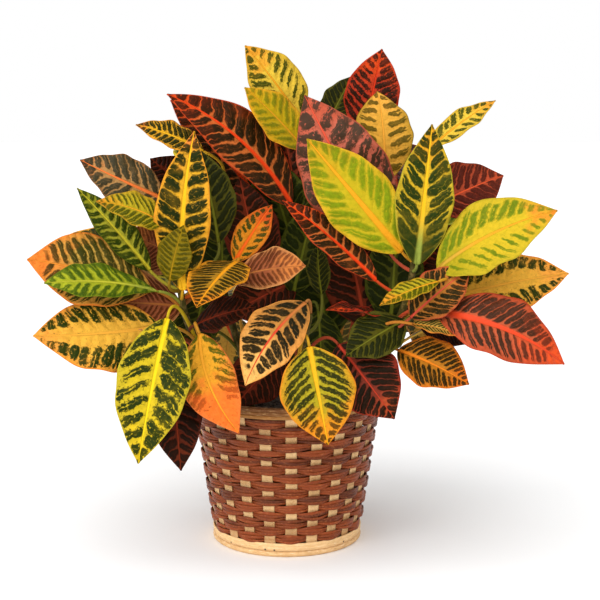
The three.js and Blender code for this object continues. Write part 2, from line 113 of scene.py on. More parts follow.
# Plant, as in the model
STEM_RADIUS = 4.2
STEM_FOOT_Z = 62
STEM_RISE = 22
STEM_PLACES = 32  # steps up a stem, at one of which a petiole starts
LOWEST_PLACE = 4  # the lowest of them with a petiole
PETIOLE_RADIUS = 1.6
PETIOLE_RISE = 0.6  # of a petiole, for each millimetre out from its stem
PETIOLE_BEND = 0.5
GOLDEN_PART = 0.381966  # of the far side's range of directions, from one leaf there to the next
FILLING_LOWEST = 0.4  # the part of a stem below which it has none of these leaves
FILLING_TURN_SPREAD = 0.12  # of the same range
FILLING_RISE_SPREAD = 10  # degrees
FILLING_ROLL = 30
FILLING_LENGTH = (0.85, 0.3)  # the least, and the spread above it
FILLING_WIDTH = (0.38, 0.08)
FILLING_STALK = (34, 12)
FILLING_LIFT = 10
FILLING_BOW = 0.09

# Fine form of the plant
STEM_STEPS = 60
FOOT_STEPS = 6  # of a stem, inside the soil
STEM_SIDES = 18
PETIOLE_STEPS = 14
PETIOLE_SIDES = 10
INNER_FULLNESS = 1.12  # leaves in the shade inside the crown are a little fuller than the model's
BLADE_GRID = (64, 22)  # steps along a blade and across it
FILLING_GRID = (40, 16)
BLADE_THICKNESS = 0.8
LEAST_HALF_WIDTH = 0.7
EDGE_THINNING = 0.55  # part of the thickness that the margin lacks
CELL_RISE = 0.42  # of the blade between two veins
VEIN_STAGGER = 0.45  # of a vein on one side of the midrib, as a part of the way to the next
VEIN_WANDER = 0.07
VEIN_CURVE = 0.8  # how much a vein bends forward on its way to the margin
RIPPLE = 0.018  # of the outline, as a part of the width
WAVE = 0.075  # of the margin, up and down, as a part of the width
GROOVE_DEPTH = 0.5  # over the midrib
GROOVE_REACH = 1.3
KEEL_DEPTH = 0.9  # under the midrib
KEEL_REACH = 1.1
PETIOLE_PALENESS = 0.8  # a petiole's colour, between that of the midrib and that of the underside

# Studio
SKY_LIGHT = 0.84
FLOOR = 9  # metres from its middle to its side
WHITE = (1, 1, 1, 1)
PAPER = (0.97, 0.97, 0.97, 1)


def wall_radius(z):
    return WALL_RADIUS_BOTTOM + WALL_SLOPE * z


def stake_angle(i):
    return math.radians(-90 + STAKE_TURN) + i * 2 * math.pi / STAKE_COUNT


def around(steps):
    """Angles of a full turn, in even steps."""
    return np.arange(steps) * 2 * np.pi / steps


def any_phase(rng):
    return rng.uniform(0, 6.3)


def outward_at(angle):
    return np.array([math.cos(angle), math.sin(angle), 0])


def colour(code):
    """Linear RGBA from a colour written as on the screen."""
    parts = [int(code[i:i + 2], 16) / 255 for i in (0, 2, 4)]
    return [c / 12.92 if c <= 0.04045 else ((c + 0.055) / 1.055) ** 2.4 for c in parts] + [1.0]


# Meshes

def add_object(name, data):
    made = bpy.data.objects.new(name, data)
    bpy.context.scene.collection.objects.link(made)
    return made


def grid_faces(rows, columns, start=0, wrap_rows=False, wrap_columns=False, flip=False):
    """Quads over a grid of points; it can close on itself either way."""
    faces = []
    for i in range(rows if wrap_rows else rows - 1):
        for j in range(columns if wrap_columns else columns - 1):
            a = start + i * columns + j
            b = start + i * columns + (j + 1) % columns
            c = start + (i + 1) % rows * columns + (j + 1) % columns
            d = start + (i + 1) % rows * columns + j
            faces.append((a, d, c, b) if flip else (a, b, c, d))
    return faces


class Body:
    """Points in millimetres, faces and point attributes, gathered from closed shells."""

    def __init__(self):
        self.points = []
        self.faces = []
        self.attributes = {}

    def add(self, points, faces, **attributes):
        start = sum(len(p) for p in self.points)
        self.points.append(points)
        self.faces += [tuple(start + i for i in face) for face in faces]
        for key, values in attributes.items():
            self.attributes.setdefault(key, []).append(values)

    def piece(self, name, slot, node, material):
        """The shells as one piece, which stands for the node."""
        mesh = bpy.data.meshes.new(name)
        mesh.from_pydata((np.concatenate(self.points) * MM).tolist(), [], self.faces)
        for key, parts in self.attributes.items():
            values = np.concatenate(parts).astype(np.float32)
            kind, field = ("FLOAT_VECTOR", "vector") if values.ndim == 2 else ("FLOAT", "value")
            mesh.attributes.new(key, kind, "POINT").data.foreach_set(field, values.ravel())
        mesh.polygons.foreach_set("use_smooth", [True] * len(mesh.polygons))
        mesh.materials.append(material)
        mesh.update()
        piece = add_object(name, mesh)
        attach(piece, "root")
        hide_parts(node)


def tube(path, radii, sides):
    """A closed tube along a path."""
    path = np.asarray(path, float)
    tangents = np.gradient(path, axis=0)
    tangents /= np.linalg.norm(tangents, axis=1)[:, None]
    normal = np.cross(tangents[0], (0.31, 0.87, 0.38))  # a direction in which no tube starts
    turn = around(sides)
    rings = []
    for place, tangent, radius in zip(path, tangents, radii):
        normal = normal - tangent * np.dot(normal, tangent)
        normal /= np.linalg.norm(normal)
        other = np.cross(tangent, normal)
        rings.append(place + radius * (np.outer(np.cos(turn), normal) + np.outer(np.sin(turn), other)))
    faces = grid_faces(len(path), sides, wrap_columns=True)
    last = (len(path) - 1) * sides
    faces.append(tuple(reversed(range(sides))))
    faces.append(tuple(range(last, last + sides)))
    return np.concatenate(rings), faces


def ring_sweep(radius, height, section):
    """A closed ring round the basket: radius and height at each step, and the section's points."""
    steps = len(radius)
    turn = around(steps)[:, None]
    if section.ndim == 2:
        section = np.broadcast_to(section, (steps,) + section.shape)
    reach = radius[:, None] + section[:, :, 0]
    level = height[:, None] + section[:, :, 1]
    points = np.stack([reach * np.cos(turn), reach * np.sin(turn), level], axis=2).reshape(-1, 3)
    return points, grid_faces(steps, section.shape[1], wrap_rows=True, wrap_columns=True, flip=True)


# Materials

class Value:
    """A number, vector or colour that varies over a surface; sums with it become nodes."""

    def __init__(self, graph, socket):
        self.graph = graph
        self.socket = socket

    def __add__(self, other):
        return self.graph.math("ADD", self, other)

    def __sub__(self, other):
        return self.graph.math("SUBTRACT", self, other)

    def __rsub__(self, other):
        return self.graph.math("SUBTRACT", other, self)

    def __mul__(self, other):
        return self.graph.math("MULTIPLY", self, other)

    def __truediv__(self, other):
        return self.graph.math("DIVIDE", self, other)

    def __pow__(self, other):
        return self.graph.math("POWER", self, other)

    def __abs__(self):
        return self.graph.math("ABSOLUTE", self)

    __radd__ = __add__


class Graph:
    """A node tree, written as sums of values."""

    def __init__(self, tree):
        self.tree = tree

    def put(self, value, socket):
        """Link a value to a socket, or set the socket to a number or to a colour's code."""
        if isinstance(value, Value):
            self.tree.links.new(value.socket, socket)
        else:
            socket.default_value = colour(value) if isinstance(value, str) else value

    def node(self, kind, inputs=None, **settings):
        made = self.tree.nodes.new(kind)
        for key, setting in settings.items():
            setattr(made, key, setting)
        for key, value in (inputs or {}).items():
            self.put(value, made.inputs[key])
        return made

    def value(self, kind, inputs, output=0, **settings):
        return Value(self, self.node(kind, inputs, **settings).outputs[output])

    def math(self, operation, *values):
        return self.value("ShaderNodeMath", dict(enumerate(values)), operation=operation)

    def ramp(self, value, low, high, start=0.0, end=1.0):
        """From start to end, smoothly, as the value goes from low to high."""
        inputs = {"Value": value, "From Min": low, "From Max": high, "To Min": start, "To Max": end}
        return self.value("ShaderNodeMapRange", inputs, interpolation_type="SMOOTHSTEP")

    def fall(self, value, low, high):
        return self.ramp(value, low, high, 1.0, 0.0)

    def mix(self, share, a, b):
        return self.value("ShaderNodeMix", {0: share, 6: a, 7: b}, 2, data_type="RGBA")

    def noise(self, place, scale, detail=2.0, roughness=0.5):
        inputs = {"Vector": place, "Scale": scale, "Detail": detail, "Roughness": roughness}
        return self.value("ShaderNodeTexNoise", inputs, "Fac")

    def vector(self, x, y, z):
        return self.value("ShaderNodeCombineXYZ", {0: x, 1: y, 2: z})

    def split(self, vector):
        outputs = self.node("ShaderNodeSeparateXYZ", {"Vector": vector}).outputs
        return [Value(self, socket) for socket in outputs]

    def attribute(self, name, output="Fac"):
        return self.value("ShaderNodeAttribute", {}, output, attribute_name=name)

    def place(self):
        """Where a point is on the object, in metres."""
        return self.value("ShaderNodeTexCoord", {}, "Object")


class Surface(Graph):
    """The node tree of a new material."""

    def __init__(self, name):
        self.material = bpy.data.materials.new(name)
        self.material.use_nodes = True
        super().__init__(self.material.node_tree)

    def dress(self, face, roughness, relief=None, depth=0.0, strength=1.0, specular=0.5, metallic=0.0):
        """The material, with its shader filled in; the depth of its relief is in metres."""
        shader = self.tree.nodes["Principled BSDF"].inputs
        self.put(face, shader["Base Color"])
        self.put(roughness, shader["Roughness"])
        self.put(specular, shader["Specular IOR Level"])
        self.put(metallic, shader["Metallic"])
        if relief:
            bump = {"Distance": depth, "Strength": strength, "Height": relief}
            self.put(self.value("ShaderNodeBump", bump, "Normal"), shader["Normal"])
        return self.material


# Colours of a leaf: midrib, veins, veins near the tip, cells, cells near the tip, margin
LEAF_COLOURS = ("Rib", "Light", "Light Tip", "Dark", "Dark Tip", "Margin")

# Cover is how much of the space between two veins is dark, Inner and Outer where
# the dark cells begin and end between midrib and margin, Fade where the veins
# thin out, Rag how uneven the cells are, Turn where the tip's colours begin, Band
# where the cells end, Bias how much darker one half is than the other, Soft how
# blurred the cells are, Foot how far the veins fade near the base and the midrib
# turns pale green there, partly its own colour and partly a painted sheen along it,
# and Width half the width of the midrib at its base
LEAF_NUMBERS = {
    "Cover": 0.84, "Inner": 0.06, "Outer": 0.94, "Fade": 2.0, "Rag": 0.06, "Turn": 0.78, "Band": 1.2,
    "Bias": 0.0, "Soft": 0.28, "Foot": 0.0, "Width": 0.017,
}
LEAF_INPUTS = (*LEAF_COLOURS, *LEAF_NUMBERS, "Seed")
MARGIN_WIDTH = 0.05


def leaf_pattern():
    """The markings of a croton leaf: dark cells between bright veins, a bright midrib and margin."""
    tree = bpy.data.node_groups.new("leaf_pattern", "ShaderNodeTree")
    for name in LEAF_INPUTS:
        kind = "NodeSocketColor" if name in LEAF_COLOURS else "NodeSocketFloat"
        tree.interface.new_socket(name, in_out="INPUT", socket_type=kind)
    for name, kind in (("Colour", "Color"), ("Height", "Float"), ("Roughness", "Float")):
        tree.interface.new_socket(name, in_out="OUTPUT", socket_type=f"NodeSocket{kind}")
    g = Graph(tree)
    entering = g.node("NodeGroupInput").outputs
    given = {name: Value(g, entering[name]) for name in LEAF_INPUTS}
    along, across, out = g.split(g.attribute("leaf_place", "Vector"))
    phase = g.attribute("leaf_phase")
    under = g.attribute("leaf_under")
    wide = abs(across)
    side = g.math("GREATER_THAN", across, 0.0)
    sign = side * 2 - 1
    place = g.vector(along, out * sign, given["Seed"] * 0.37)
    broad = g.noise(place, 9.0)
    fine = g.noise(place, 34.0)
    # The number of the cell between two veins, and how near its middle a point is
    bent = g.noise(place, 15.0)
    count = phase + side * VEIN_STAGGER + (bent - 0.5) * 0.6 + (fine - 0.5) * 0.2
    number = g.math("FLOOR", count) + side * 37
    apart = abs(g.math("FRACT", count) - 0.5) * 2
    draw = g.value("ShaderNodeTexWhiteNoise", {"Vector": g.vector(number, given["Seed"], 0.0)}, "Color",
                   noise_dimensions="2D")
    first, second, third = g.split(draw)
    width = (
        given["Cover"] * (first * 0.36 + 0.8) + given["Bias"] * sign + (wide - 0.45) * 0.16
        + g.math("MAXIMUM", wide - given["Fade"], 0.0) * 3
    )
    middle = (given["Inner"] + given["Outer"]) * 0.5 + (third - 0.5) * 0.1
    half = (given["Outer"] - given["Inner"]) * (second * 0.2 + 0.37)
    ends = abs((wide - middle) / half) ** 6
    # Near the margin a vein forks: a short one stands in the middle of the cell
    fork = g.fall(apart, 0.0, 0.2) * g.ramp(wide, first * 0.55 + 0.35, first * 0.55 + 0.6)
    field = (
        (apart / width) ** 2 + ends + fork * 1.2
        + given["Rag"] * (broad - 0.5) * 12 + given["Rag"] * (fine - 0.5) * 10
        + g.ramp(along, given["Band"], given["Band"] + 0.1) * 1.6
    )
    cell = g.fall(field, 1 - given["Soft"], 1.0)
    halo = g.fall(field, 0.9, 1 + given["Soft"])
    # Colours change from the base of the blade to its tip
    turned = g.ramp(along + (broad - 0.5) * 0.5, given["Turn"] - 0.16, given["Turn"] + 0.16)
    light = g.mix(turned, given["Light"], given["Light Tip"])
    dark = g.mix(turned, given["Dark"], given["Dark Tip"])
    light = g.mix(g.ramp(wide, 0.55, 1.0) * 0.55, light, given["Margin"])
    light = g.mix(g.ramp(fine, 0.35, 0.75) * 0.22, light, dark)
    dark = g.mix(third * g.ramp(broad, 0.4, 0.75) * 0.16, dark, light)
    dark = g.mix(g.ramp(fine, 0.3, 0.7) * 0.25, dark, "0a0e02")
    # Towards the base of the blade the veins can fade, and the midrib turns pale green: partly its own
    # colour, partly a painted sheen along the midrib
    foot = given["Foot"] * g.fall(along, 0.12, 0.42)
    light = g.mix(foot, light, dark)
    # Small veins between the large ones
    small = abs(g.math("FRACT", count * 3 + bent) - 0.5) * 2
    line = g.ramp(small, 0.7, 1.0) * g.ramp(g.noise(place, 22.0), 0.42, 0.6)
    dark = g.mix(line * 0.22, dark, light)
    face = g.mix(halo, light, g.mix(0.5, light, dark))
    face = g.mix(cell, face, dark)
    # Uneven leaves have dark specks, most of them beside their cells, and light ones in the cells
    specks = g.noise(place, 48.0, 3.0, 0.6)
    uneven = g.math("MINIMUM", given["Rag"] * 8, 1.0)
    beside = g.fall(field, 1.0, 2.6) * g.ramp(field, 0.9, 1.1)
    face = g.mix(beside * uneven * g.ramp(specks, 0.52, 0.58), face, dark)
    face = g.mix(given["Rag"] * 5 * g.ramp(specks, 0.64, 0.68), face, dark)
    face = g.mix(cell * uneven * g.ramp(specks, 0.4, 0.33) * 0.7, face, light)
    edge = g.ramp(wide + (broad - 0.5) * 0.06, 1 - MARGIN_WIDTH, 1 - MARGIN_WIDTH * 0.45)
    face = g.mix(edge, face, given["Margin"])
    rib_half = given["Width"] * (1.1 - along)
    rib = g.fall(out, rib_half * 0.55, rib_half * 1.35)
    # The midrib's pale green towards the base is partly a painted sheen
    face = g.mix(rib, face, g.mix(foot, given["Rib"], "7c9440"))
    face = g.mix(under, face, g.mix(0.5, face, "4a4426"))
    height = (1 - apart ** 2) * g.ramp(wide, 0.02, 0.2) * 0.7 + rib * -0.7 + fine * 0.35 + line * -0.12
    g.node("NodeGroupOutput", {
        "Colour": face, "Height": height, "Roughness": fine * 0.14 + 0.36 + under * 0.25,
    })
    return tree


LEAF_PATTERN = leaf_pattern()


def leaf_material(name, given):
    g = Surface(name)
    inputs = {key: given[key] for key in LEAF_INPUTS}
    group = g.node("ShaderNodeGroup", inputs, node_tree=LEAF_PATTERN)
    face, relief, roughness = (Value(g, socket) for socket in group.outputs)
    return g.dress(face, roughness, relief, 0.0012, 0.8, specular=given["Gloss"])


def look(colours, **changes):
    """Colours in the order above, then what differs from the usual numbers.

    Veins is the number of vein pairs, Lean how far they slope forward and Gloss
    how much the blade shines.
    """
    usual = {**LEAF_NUMBERS, "Veins": 11, "Lean": 0.5, "Gloss": 0.05}
    return {**dict(zip(LEAF_COLOURS, colours.split())), **usual, **changes}


LOOKS = {
    "net_gold": look("f0b420 dca224 e87838 202806 3c2c08 dc9028", Veins=12, Lean=0.35, Cover=0.88,
        Inner=0.07, Outer=0.95, Turn=0.9, Band=0.96, Width=0.024),
    "gold_blobs": look("e89c20 e0ba3a e89c2c 44480a 504c0c c09a28", Veins=9, Cover=0.62, Inner=0.2,
        Outer=0.9, Rag=0.1, Bias=-0.14),
    "olive": look("d8961c b4940e c89414 7c780a 8c7c10 d89420", Veins=9, Cover=0.55, Inner=0.15, Soft=0.75),
    "dull_olive": look("a07c14 806c10 887010 4c4604 504606 6c5c0c", Veins=12, Lean=0.2, Cover=0.66,
        Soft=0.5),
    "red_dark": look("e04014 c4662c d84c18 2a1c08 441a08 b03a16", Veins=12, Cover=0.86, Inner=0.03,
        Outer=1.05, Rag=0.03, Turn=0.7, Width=0.018),
    "deep_green": look("6c6c1c 4c480e 4c480e 1c2004 1e2004 4a4612", Veins=10, Lean=0.7, Rag=0.03),
    "grey_orange": look("e87430 b08046 dc6c28 3a341c 3e2a16 84542a", Veins=9, Inner=0.03, Outer=1.1,
        Rag=0.04, Turn=0.93, Width=0.024, Gloss=0.14),
    "olive_green": look("e09c20 b09a1c dc8c20 4e5006 60540c b4861c", Cover=0.62, Outer=0.97, Bias=-0.2,
        Soft=0.5),
    "lime": look("c4b42c a49e2c 8c8a1c 2e3c06 323e06 4e560c", Veins=12, Cover=0.74, Outer=1.1, Fade=0.8,
        Soft=0.45),
    "green": look("b8b432 9a9e1e a8ac24 40560a 586a10 6c7812", Veins=12, Cover=0.6, Inner=0.08, Outer=1.1,
        Fade=0.7, Soft=0.6, Foot=0.5),
    "sheen_orange": look("e0882c c89c42 e87c2c 3c3a0e 643e12 d87828", Veins=13, Cover=0.7, Turn=0.76,
        Band=0.82, Soft=0.4),
    "gold_band": look("eca83a e8ac3a ec9c3c 28340a 323808 e4842c", Lean=0.2, Cover=0.8, Inner=0.32,
        Rag=0.13, Band=0.88),
    "green_gold": look("ecc81c ccb01e dcb81e 26320a 2e3606 b8a42a", Veins=9, Cover=0.8, Outer=1.0, Rag=0.18,
        Bias=-0.12),
    "orange": look("eca02a e6a028 f0742a 5e5c0a c0541a e87838", Cover=0.66, Inner=0.34, Outer=1.0, Rag=0.16,
        Turn=0.5, Band=0.64),
    "orange_spots": look("e86018 d4801a cc4e1a 3a4008 42380a bc5c18", Veins=9, Cover=0.6, Inner=0.26,
        Outer=0.84, Rag=0.1, Turn=0.66, Width=0.03),
    "striped": look("e89818 ac7c1e e47c1c 2a2404 402c06 dc8818", Veins=17, Cover=0.76, Inner=0.08, Rag=0.03,
        Turn=0.82, Width=0.024),
    "maroon": look("7c2c14 582010 662812 1e0c04 240e04 481a0c", Cover=0.86, Rag=0.03),
    "brown_pink": look("b06834 945030 c87638 5c2c12 8c4c24 c88a50", Veins=16, Cover=0.62, Rag=0.03,
        Turn=0.72, Soft=0.5),
    "pink_mottle": look("dc5034 c8664e c05438 46301e 462c1c a04830", Veins=9, Cover=0.68, Inner=0.03,
        Outer=1.1, Rag=0.3, Gloss=0.12),
    "yellow_green": look("e49a1c bca41a c0941a 7c8a0c 7c7c0c cc9c20", Lean=0.9, Cover=0.7, Inner=0.24,
        Rag=0.08, Soft=0.65, Width=0.026),
    "yellow_elongated": look("e49c24 ccac22 e6782a 6c7c0e 987c18 b8a024", Veins=12, Lean=0.6, Cover=0.54,
        Inner=0.25, Outer=0.86, Rag=0.1, Turn=0.86, Bias=-0.16, Soft=0.6, Foot=0.4),
    "black_gold": look("ecb420 d0a824 e09c20 28360a 32360a a89828", Veins=10, Lean=0.75, Cover=0.86,
        Inner=0.05, Outer=0.99, Fade=1.1, Rag=0.05, Foot=0.9, Width=0.022),
    "net_pink": look("d4503a b4702c cc6c2c 242008 2c2008 a84428"),
    "bars_gold": look("e4a81c aa981e e08a1c 2c2e06 5c3a0a d88420", Cover=0.7, Inner=0.1, Outer=0.92,
        Rag=0.1, Turn=0.7, Width=0.028),
    "bars_orange": look("e07c1c b4701c dc6c18 281e04 44280a d06818", Veins=14, Cover=0.76, Inner=0.08,
        Outer=0.92, Width=0.024),
    "cream_bars": look("d04428 c4843c ecb05c 1c1806 2c2008 dc9040", Lean=0.35, Outer=0.9, Rag=0.05,
        Turn=0.55, Band=0.8, Foot=0.4),
    "pink_veins": look("b83a24 7c3020 b04824 1c1206 241408 942c1c", Veins=12, Cover=0.9, Inner=0.03,
        Outer=0.98, Rag=0.03),
    "barred": look("e8a034 dca038 e8a440 64500e 6c500e 94761a", Veins=9, Lean=0.1, Cover=0.58, Inner=0.15,
        Outer=0.9, Rag=0.04),
    "arching_red": look("dc4420 b8522e dc4c1c 3e200c 7c2a0e b4401c", Veins=16, Cover=0.76, Inner=0.04,
        Turn=0.74, Band=0.82, Bias=-0.12, Width=0.032, Gloss=0.12),
    "crimson": look("cc3416 b4341c d84818 2a1408 44180a a42c14", Cover=0.74, Rag=0.12, Turn=0.7, Bias=0.16),
    "maroon_red": look("dc542c a84428 b44828 501a0e 541e10 782a16", Veins=9, Cover=0.92, Inner=0.04,
        Outer=0.98, Rag=0.03),
    "shaded_green": look("6a6e1e 4a4c12 545414 1e2604 242806 464a12", Veins=10, Cover=0.86, Rag=0.03),
    "shaded_red": look("a03a20 742c16 80301a 2a1406 341808 5a2010", Cover=0.88, Rag=0.03),
}


def leaf(tip, base, width, face, style, bow=0.05, fold=0.1, sweep=0.0, peak=0.46):
    """A leaf's tip, the base and width of its blade, and the way its upper face looks.

    Then its look, how far it bows, folds and sweeps aside, and where it is widest.
    """
    return {
        "tip": np.array(tip, float), "base": np.array(base, float), "width": width,
        "face": np.array(face, float), "look": LOOKS[style], "bow": bow, "fold": fold,
        "sweep": sweep, "peak": peak,
    }


# The leafy stems: where each stands in the soil, how it leans and where its crown
# is; the leaves placed after the photograph, those inside the crown, and the rule
# for those on its far side, some of which are left out
STEMS = {
    "left": {
        "foot": (-34, -18), "lean": (-104, -74, 190), "crown": (-95, -72, 275),
        "leaves": [
            leaf((-81, -80, 397), (-93, -84, 254), 50, (0, -1, 0.1), "net_gold", bow=0.04, sweep=-0.03),
            leaf((-79, -45, 379), (-62, -50, 294), 46, (0.3, -1, 0.2), "deep_green"),
            leaf((-167, -100, 336), (-111, -84, 316), 38, (0.1, -0.7, 0.7), "olive_green", bow=0.1,
                 peak=0.36),
            leaf((-187, -76, 346), (-124, -64, 270), 31, (0.3, -0.9, 0.3), "lime"),
            leaf((-230, -95, 284), (-122, -65, 252), 70, (0, -0.85, 0.5), "sheen_orange", bow=0.08,
                 peak=0.54),
            leaf((-210, -125, 267), (-115, -80, 253), 40, (-0.1, -0.7, 0.7), "green", bow=0.07, peak=0.6),
            leaf((-90, -100, 315), (-104, -90, 264), 34, (-0.3, -1, 0.2), "dull_olive"),
            leaf((-13, -40, 328), (-47, -58, 277), 32, (-0.3, -1, 0.3), "orange_spots", bow=0.04),
            leaf((-75, -160, 251), (-44, -70, 279), 52, (0, -0.3, 1), "striped"),
            leaf((18, -95, 278), (-56, -60, 259), 42, (0, -0.8, 0.6), "brown_pink", bow=0.08, peak=0.62),
            leaf((-218, -140, 223), (-114, -85, 222), 72, (-0.05, -0.85, 0.5), "gold_band", bow=0.03,
                 fold=-0.1, sweep=-0.035),
            leaf((-128, -150, 112), (-105, -105, 233), 64, (0, -1, 0.2), "green_gold", bow=0.08),
            leaf((-41, -130, 134), (-77, -100, 218), 50, (0.1, -1, 0.3), "orange", sweep=0.09),
            leaf((-94, -112, 95), (-103, -90, 192), 48, (0, -1, 0.3), "maroon", bow=0.04),
            leaf((-27, -95, 241), (-83, -75, 221), 44, (0, -0.6, 0.8), "maroon"),
        ],
        "inner": [
            leaf((-172, -84, 242), (-96, -60, 236), 56, (0, -0.8, 0.6), "brown_pink"),
        ],
        "filling": dict(count=6, turn=(95, 205), rise=(-5, 20), length=105, seed=11, gaps=(0, 1, 3, 4, 5)),
    },
    "right": {
        "foot": (36, -20), "lean": (114, -80, 190), "crown": (116, -72, 288),
        "leaves": [
            leaf((17, -38, 428), (92, -50, 290), 82, (-0.3, -0.9, 0.3), "pink_mottle"),
            leaf((19, -75, 390), (105, -75, 288), 64, (-0.3, -0.9, 0.4), "yellow_green"),
            leaf((130, -80, 403), (118, -80, 277), 52, (0, -1, 0.1), "black_gold", bow=0.03),
            leaf((238, -110, 329), (135, -90, 274), 68, (-0.1, -0.8, 0.6), "yellow_elongated", sweep=-0.04),
            leaf((257, -70, 268), (151, -70, 246), 60, (0, -0.8, 0.6), "gold_band"),
            leaf((217, -50, 276), (149, -58, 256), 36, (0, -0.8, 0.6), "maroon"),
            leaf((164, -98, 277), (111, -104, 233), 44, (0.2, -0.7, 0.7), "net_pink"),
            leaf((246, -120, 194), (135, -100, 237), 62, (0, -0.8, 0.6), "arching_red", bow=0.16),
            leaf((161, -130, 178), (100, -105, 204), 50, (0, -0.8, 0.6), "bars_orange", bow=0.07),
            leaf((169, -80, 206), (122, -75, 221), 36, (0, -0.6, 0.8), "maroon"),
            leaf((154, -124, 220), (112, -114, 229), 26, (0, -0.3, 1), "sheen_orange"),
            leaf((82, -130, 248), (135, -108, 266), 24, (0, -0.5, 0.9), "olive_green"),
            leaf((53, -120, 201), (106, -95, 229), 46, (-0.1, -0.8, 0.6), "deep_green"),
            leaf((36, -98, 239), (93, -70, 227), 44, (0, -0.1, 1), "crimson"),
            leaf((-3, -62, 334), (82, -75, 262), 34, (0.35, -0.85, 0.4), "red_dark"),
        ],
        "inner": [],
        "filling": dict(count=6, turn=(0, 85), rise=(0, 20), length=105, seed=23, gaps=(0, 2, 4, 5)),
    },
    "middle": {
        "foot": (4, 22), "lean": (2, 26, 250), "crown": (28, 28, 362),
        "leaves": [
            leaf((-39, 10, 474), (15, 25, 402), 56, (0.2, -0.9, 0.5), "gold_blobs", bow=0.04),
            leaf((-39, -10, 435), (16, 0, 378), 48, (0.3, -0.8, 0.6), "olive", bow=0.04),
            leaf((-110, -25, 429), (5, -10, 325), 62, (0.4, -0.8, 0.5), "red_dark", sweep=0.07),
            leaf((93, 62, 472), (75, 50, 386), 54, (0, -0.9, 0.4), "crimson", bow=0.04),
            leaf((65, 72, 446), (38, 60, 395), 34, (-0.2, -0.9, 0.4), "deep_green", bow=0.04),
            leaf((0, 178, 122), (5, 118, 215), 52, (0, 1, 0.3), "green_gold", bow=0.08),
        ],
        "inner": [
            leaf((28, 10, 300), (38, 14, 190), 60, (0.1, -1, 0.1), "shaded_green", bow=0.03),
            leaf((-56, -10, 220), (8, 10, 250), 50, (-0.1, -1, 0.4), "shaded_red"),
            leaf((-22, 0, 372), (6, 12, 284), 52, (0.1, -1, 0.3), "shaded_green"),
            leaf((-4, 4, 396), (14, 12, 312), 38, (0.1, -1, 0.2), "shaded_red"),
            leaf((28, -8, 334), (6, 4, 238), 42, (0, -1, 0.2), "shaded_green"),
            leaf((34, -30, 158), (30, -8, 224), 38, (0.1, -0.9, 0.3), "shaded_green"),
            leaf((-44, -18, 352), (-24, -8, 258), 48, (0, -1, 0.2), "shaded_red"),
        ],
        "filling": dict(count=10, turn=(15, 165), rise=(-5, 14), length=115, seed=37, gaps=(0, 1, 2, 5, 7)),
    },
    "front": {
        "foot": (2, -36), "lean": (10, -100, 180), "crown": (22, -95, 236),
        "leaves": [
            leaf((96, -130, 147), (47, -100, 208), 64, (0, -0.9, 0.4), "pink_veins"),
            leaf((37, -155, 130), (21, -125, 211), 66, (0, -1, 0.3), "bars_gold"),
            leaf((-35, -135, 178), (18, -105, 247), 52, (0, -0.8, 0.5), "cream_bars", sweep=0.06),
            leaf((29, -40, 291), (33, -45, 245), 24, (-0.4, -0.9, 0), "deep_green", bow=0.04),
        ],
        "inner": [
            leaf((-48, -62, 142), (0, -30, 190), 50, (-0.2, -0.9, 0.4), "shaded_red"),
        ],
    },
    "back_left": {
        "foot": (-32, 30), "lean": (-70, 52, 210), "crown": (-74, 38, 334),
        "leaves": [
            leaf((-139, -28, 401), (-77, -22, 376), 34, (-0.2, -0.6, 0.8), "net_gold", bow=0.06),
            leaf((-128, -10, 369), (-86, -5, 333), 42, (-0.2, -0.8, 0.5), "maroon"),
            leaf((-187, -55, 370), (-112, -40, 333), 50, (-0.1, -0.8, 0.6), "grey_orange", bow=0.06,
                 sweep=-0.04),
            leaf((-110, 10, 423), (-24, 15, 323), 48, (0.3, -0.8, 0.5), "red_dark"),
            leaf((-72, 170, 112), (-58, 112, 200), 54, (0, 1, 0.3), "gold_band", bow=0.08),
            leaf((-136, 122, 128), (-98, 92, 208), 48, (-0.6, 0.8, 0.3), "red_dark", bow=0.1),
        ],
        "inner": [
            leaf((-150, -34, 300), (-96, -16, 275), 48, (0, -0.9, 0.4), "brown_pink"),
            leaf((-62, -2, 315), (-62, 18, 240), 44, (0, -1, 0.2), "shaded_green"),
            leaf((-92, -20, 180), (-78, 4, 246), 42, (0, -1, 0.3), "shaded_green"),
        ],
        "filling": dict(count=12, turn=(60, 215), rise=(-8, 14), length=125, seed=53, gaps=(0, 10)),
    },
    "back_right": {
        "foot": (34, 30), "lean": (92, 44, 210), "crown": (116, 4, 338),
        "leaves": [
            leaf((194, -20, 423), (133, -35, 380), 31, (-0.53, -0.65, 0.53), "gold_blobs", bow=0.04),
            leaf((87, 25, 431), (93, -12, 347), 56, (0.1, -1, 0.4), "barred", bow=0.14, fold=0.05),
            leaf((200, -40, 355), (132, -50, 326), 58, (0.1, -0.8, 0.6), "maroon_red"),
            leaf((82, 162, 116), (70, 108, 205), 54, (0.1, 1, 0.3), "sheen_orange", bow=0.08),
            leaf((152, 112, 142), (120, 78, 218), 46, (0.6, 0.8, 0.3), "gold_band", bow=0.1),
        ],
        "inner": [
            leaf((54, -10, 308), (76, 4, 208), 58, (0.1, -1, 0.2), "shaded_red", bow=0.03),
            leaf((104, -22, 318), (100, 2, 210), 50, (0, -1, 0.2), "shaded_green"),
            leaf((158, -22, 308), (118, -4, 254), 40, (0, -1, 0.3), "shaded_red"),
        ],
        "filling": dict(count=12, turn=(-15, 120), rise=(-6, 12), length=125, seed=67, gaps=(0, 11)),
    },
}

FILLING_LOOKS = (
    "green_gold", "red_dark", "gold_band", "deep_green", "net_gold", "pink_veins", "lime",
    "sheen_orange", "black_gold", "maroon_red", "bars_gold", "green",
)


